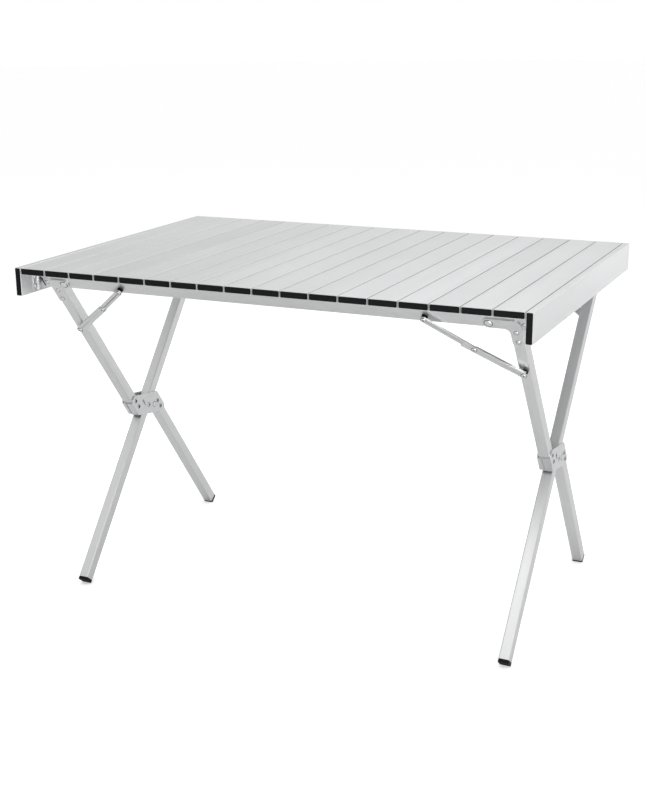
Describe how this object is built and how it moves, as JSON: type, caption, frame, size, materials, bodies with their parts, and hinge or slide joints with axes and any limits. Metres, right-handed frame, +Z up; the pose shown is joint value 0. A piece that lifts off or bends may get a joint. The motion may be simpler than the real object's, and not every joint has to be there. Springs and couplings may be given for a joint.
{
  "type": "folding camp kitchen table",
  "caption": "Roll-top slatted aluminium table on two rails, with crossed folding legs, knee plates, folding braces and black end plugs.",
  "frame": {"origin": "on the ground, under the centre of the table", "axes": "+X along the length of the top, +Y towards the rear legs' rail, +Z up; the front faces -Y"},
  "size_m": [1.2, 0.815, 0.8],
  "materials": {
    "slat_aluminium": "satin anodised",
    "frame_aluminium": "satin anodised",
    "bracket_aluminium": "brushed",
    "steel": "polished",
    "black_plastic": "matte"
  },
  "bodies": {
    "front_frame": {"front_rail": "frame_aluminium", "front_rail_plugs": "black_plastic", "left_front_leg_upper": "frame_aluminium", "left_front_leg_lower": "frame_aluminium", "right_front_leg_upper": "frame_aluminium", "right_front_leg_lower": "frame_aluminium", "left_knee_outer_plate": "bracket_aluminium", "left_knee_inner_plate": "bracket_aluminium", "right_knee_inner_plate": "bracket_aluminium", "right_knee_outer_plate": "bracket_aluminium", "knee_rivets": "steel", "knee_pivot_pins": "steel", "knee_bumpers": "black_plastic", "left_front_leg_bracket": "bracket_aluminium", "right_front_leg_bracket": "bracket_aluminium", "front_rivets": "steel", "front_pivot_pins": "steel", "left_front_brace_upper_link": "frame_aluminium", "left_front_brace_lower_link": "frame_aluminium", "right_front_brace_upper_link": "frame_aluminium", "right_front_brace_lower_link": "frame_aluminium", "front_brace_spacers": "black_plastic", "rear_feet": "black_plastic"},
    "rear_frame": {"rear_rail": "frame_aluminium", "rear_rail_plugs": "black_plastic", "left_rear_leg": "frame_aluminium", "right_rear_leg": "frame_aluminium", "left_rear_leg_bracket": "bracket_aluminium", "right_rear_leg_bracket": "bracket_aluminium", "rear_rivets": "steel", "rear_pivot_pins": "steel", "left_rear_brace_upper_link": "frame_aluminium", "left_rear_brace_lower_link": "frame_aluminium", "right_rear_brace_upper_link": "frame_aluminium", "right_rear_brace_lower_link": "frame_aluminium", "rear_brace_spacers": "black_plastic", "front_feet": "black_plastic"},
    "slat_01": {"slat_01": "slat_aluminium"},
    "slat_02": {"slat_02": "slat_aluminium"},
    "slat_03": {"slat_03": "slat_aluminium"},
    "slat_04": {"slat_04": "slat_aluminium"},
    "slat_05": {"slat_05": "slat_aluminium"},
    "slat_06": {"slat_06": "slat_aluminium"},
    "slat_07": {"slat_07": "slat_aluminium"},
    "slat_08": {"slat_08": "slat_aluminium"},
    "slat_09": {"slat_09": "slat_aluminium"},
    "slat_10": {"slat_10": "slat_aluminium"},
    "slat_11": {"slat_11": "slat_aluminium"},
    "slat_12": {"slat_12": "slat_aluminium"},
    "slat_13": {"slat_13": "slat_aluminium"},
    "slat_14": {"slat_14": "slat_aluminium"},
    "slat_15": {"slat_15": "slat_aluminium"},
    "slat_16": {"slat_16": "slat_aluminium"},
    "slat_17": {"slat_17": "slat_aluminium"},
    "slat_18": {"slat_18": "slat_aluminium"},
    "right_end": {"right_end_board": "slat_aluminium", "right_end_brackets": "bracket_aluminium"},
    "left_end": {"left_end_board": "slat_aluminium", "left_end_brackets": "bracket_aluminium"}
  },
  "joints": [
    {"name": "scissor_fold", "type": "hinge", "parent": "front_frame", "child": "rear_frame", "pos_m": [0, 0, 0.375], "axis": [1, 0, 0], "range_deg": [0, 76]},
    {"name": "top_lift", "type": "slide", "parent": "front_frame", "child": "slat_01", "axis": [0, 0, 1], "range_m": [0, 0.56]},
    {"name": "top_roll", "type": "hinge", "parent": "slat_01", "child": "slat_02", "pos_m": [-0.52156, 0, 0.7985], "axis": [0, -1, 0], "range_deg": [0, 25]},
    {"name": "roll_02", "type": "hinge", "parent": "slat_02", "child": "slat_03", "pos_m": [-0.45661, 0, 0.7985], "axis": [0, -1, 0], "range_deg": [0, 25.5]},
    {"name": "roll_03", "type": "hinge", "parent": "slat_03", "child": "slat_04", "pos_m": [-0.39167, 0, 0.7985], "axis": [0, -1, 0], "range_deg": [0, 26.5]},
    {"name": "roll_04", "type": "hinge", "parent": "slat_04", "child": "slat_05", "pos_m": [-0.32672, 0, 0.7985], "axis": [0, -1, 0], "range_deg": [0, 26.5]},
    {"name": "roll_05", "type": "hinge", "parent": "slat_05", "child": "slat_06", "pos_m": [-0.26178, 0, 0.7985], "axis": [0, -1, 0], "range_deg": [0, 27.5]},
    {"name": "roll_06", "type": "hinge", "parent": "slat_06", "child": "slat_07", "pos_m": [-0.19683, 0, 0.7985], "axis": [0, -1, 0], "range_deg": [0, 28.5]},
    {"name": "roll_07", "type": "hinge", "parent": "slat_07", "child": "slat_08", "pos_m": [-0.13189, 0, 0.7985], "axis": [0, -1, 0], "range_deg": [0, 29.5]},
    {"name": "roll_08", "type": "hinge", "parent": "slat_08", "child": "slat_09", "pos_m": [-0.06694, 0, 0.7985], "axis": [0, -1, 0], "range_deg": [0, 30.5]},
    {"name": "roll_09", "type": "hinge", "parent": "slat_09", "child": "slat_10", "pos_m": [-0.002, 0, 0.7985], "axis": [0, -1, 0], "range_deg": [0, 31.5]},
    {"name": "roll_10", "type": "hinge", "parent": "slat_10", "child": "slat_11", "pos_m": [0.06294, 0, 0.7985], "axis": [0, -1, 0], "range_deg": [0, 32.5]},
    {"name": "roll_11", "type": "hinge", "parent": "slat_11", "child": "slat_12", "pos_m": [0.12789, 0, 0.7985], "axis": [0, -1, 0], "range_deg": [0, 33.5]},
    {"name": "roll_12", "type": "hinge", "parent": "slat_12", "child": "slat_13", "pos_m": [0.19283, 0, 0.7985], "axis": [0, -1, 0], "range_deg": [0, 35.5]},
    {"name": "roll_13", "type": "hinge", "parent": "slat_13", "child": "slat_14", "pos_m": [0.25778, 0, 0.7985], "axis": [0, -1, 0], "range_deg": [0, 36.5]},
    {"name": "roll_14", "type": "hinge", "parent": "slat_14", "child": "slat_15", "pos_m": [0.32272, 0, 0.7985], "axis": [0, -1, 0], "range_deg": [0, 38.5]},
    {"name": "roll_15", "type": "hinge", "parent": "slat_15", "child": "slat_16", "pos_m": [0.38767, 0, 0.7985], "axis": [0, -1, 0], "range_deg": [0, 41.5]},
    {"name": "roll_16", "type": "hinge", "parent": "slat_16", "child": "slat_17", "pos_m": [0.45261, 0, 0.7985], "axis": [0, -1, 0], "range_deg": [0, 43.5]},
    {"name": "roll_17", "type": "hinge", "parent": "slat_17", "child": "slat_18", "pos_m": [0.51756, 0, 0.7985], "axis": [0, -1, 0], "range_deg": [0, 47.5]},
    {"name": "right_end_fold", "type": "hinge", "parent": "slat_18", "child": "right_end", "pos_m": [0.5825, 0, 0.7985], "axis": [0, -1, 0], "range_deg": [0, 105.5]},
    {"name": "left_end_fold", "type": "hinge", "parent": "slat_01", "child": "left_end", "pos_m": [-0.5825, 0, 0.7985], "axis": [0, 1, 0], "range_deg": [0, 90.5]}
  ],
  "couplings": [
    {"joint": "top_lift", "follows": "scissor_fold", "m_per_rad": 0.42},
    {"joint": "roll_02", "follows": "top_roll", "ratio": 1},
    {"joint": "roll_03", "follows": "top_roll", "ratio": 1.04},
    {"joint": "roll_04", "follows": "top_roll", "ratio": 1.04},
    {"joint": "roll_05", "follows": "top_roll", "ratio": 1.08},
    {"joint": "roll_06", "follows": "top_roll", "ratio": 1.12},
    {"joint": "roll_07", "follows": "top_roll", "ratio": 1.16},
    {"joint": "roll_08", "follows": "top_roll", "ratio": 1.2},
    {"joint": "roll_09", "follows": "top_roll", "ratio": 1.24},
    {"joint": "roll_10", "follows": "top_roll", "ratio": 1.28},
    {"joint": "roll_11", "follows": "top_roll", "ratio": 1.32},
    {"joint": "roll_12", "follows": "top_roll", "ratio": 1.4},
    {"joint": "roll_13", "follows": "top_roll", "ratio": 1.44},
    {"joint": "roll_14", "follows": "top_roll", "ratio": 1.52},
    {"joint": "roll_15", "follows": "top_roll", "ratio": 1.64},
    {"joint": "roll_16", "follows": "top_roll", "ratio": 1.72},
    {"joint": "roll_17", "follows": "top_roll", "ratio": 1.88},
    {"joint": "right_end_fold", "follows": "top_roll", "ratio": 4.2},
    {"joint": "left_end_fold", "follows": "top_roll", "ratio": 3.6}
  ]
}
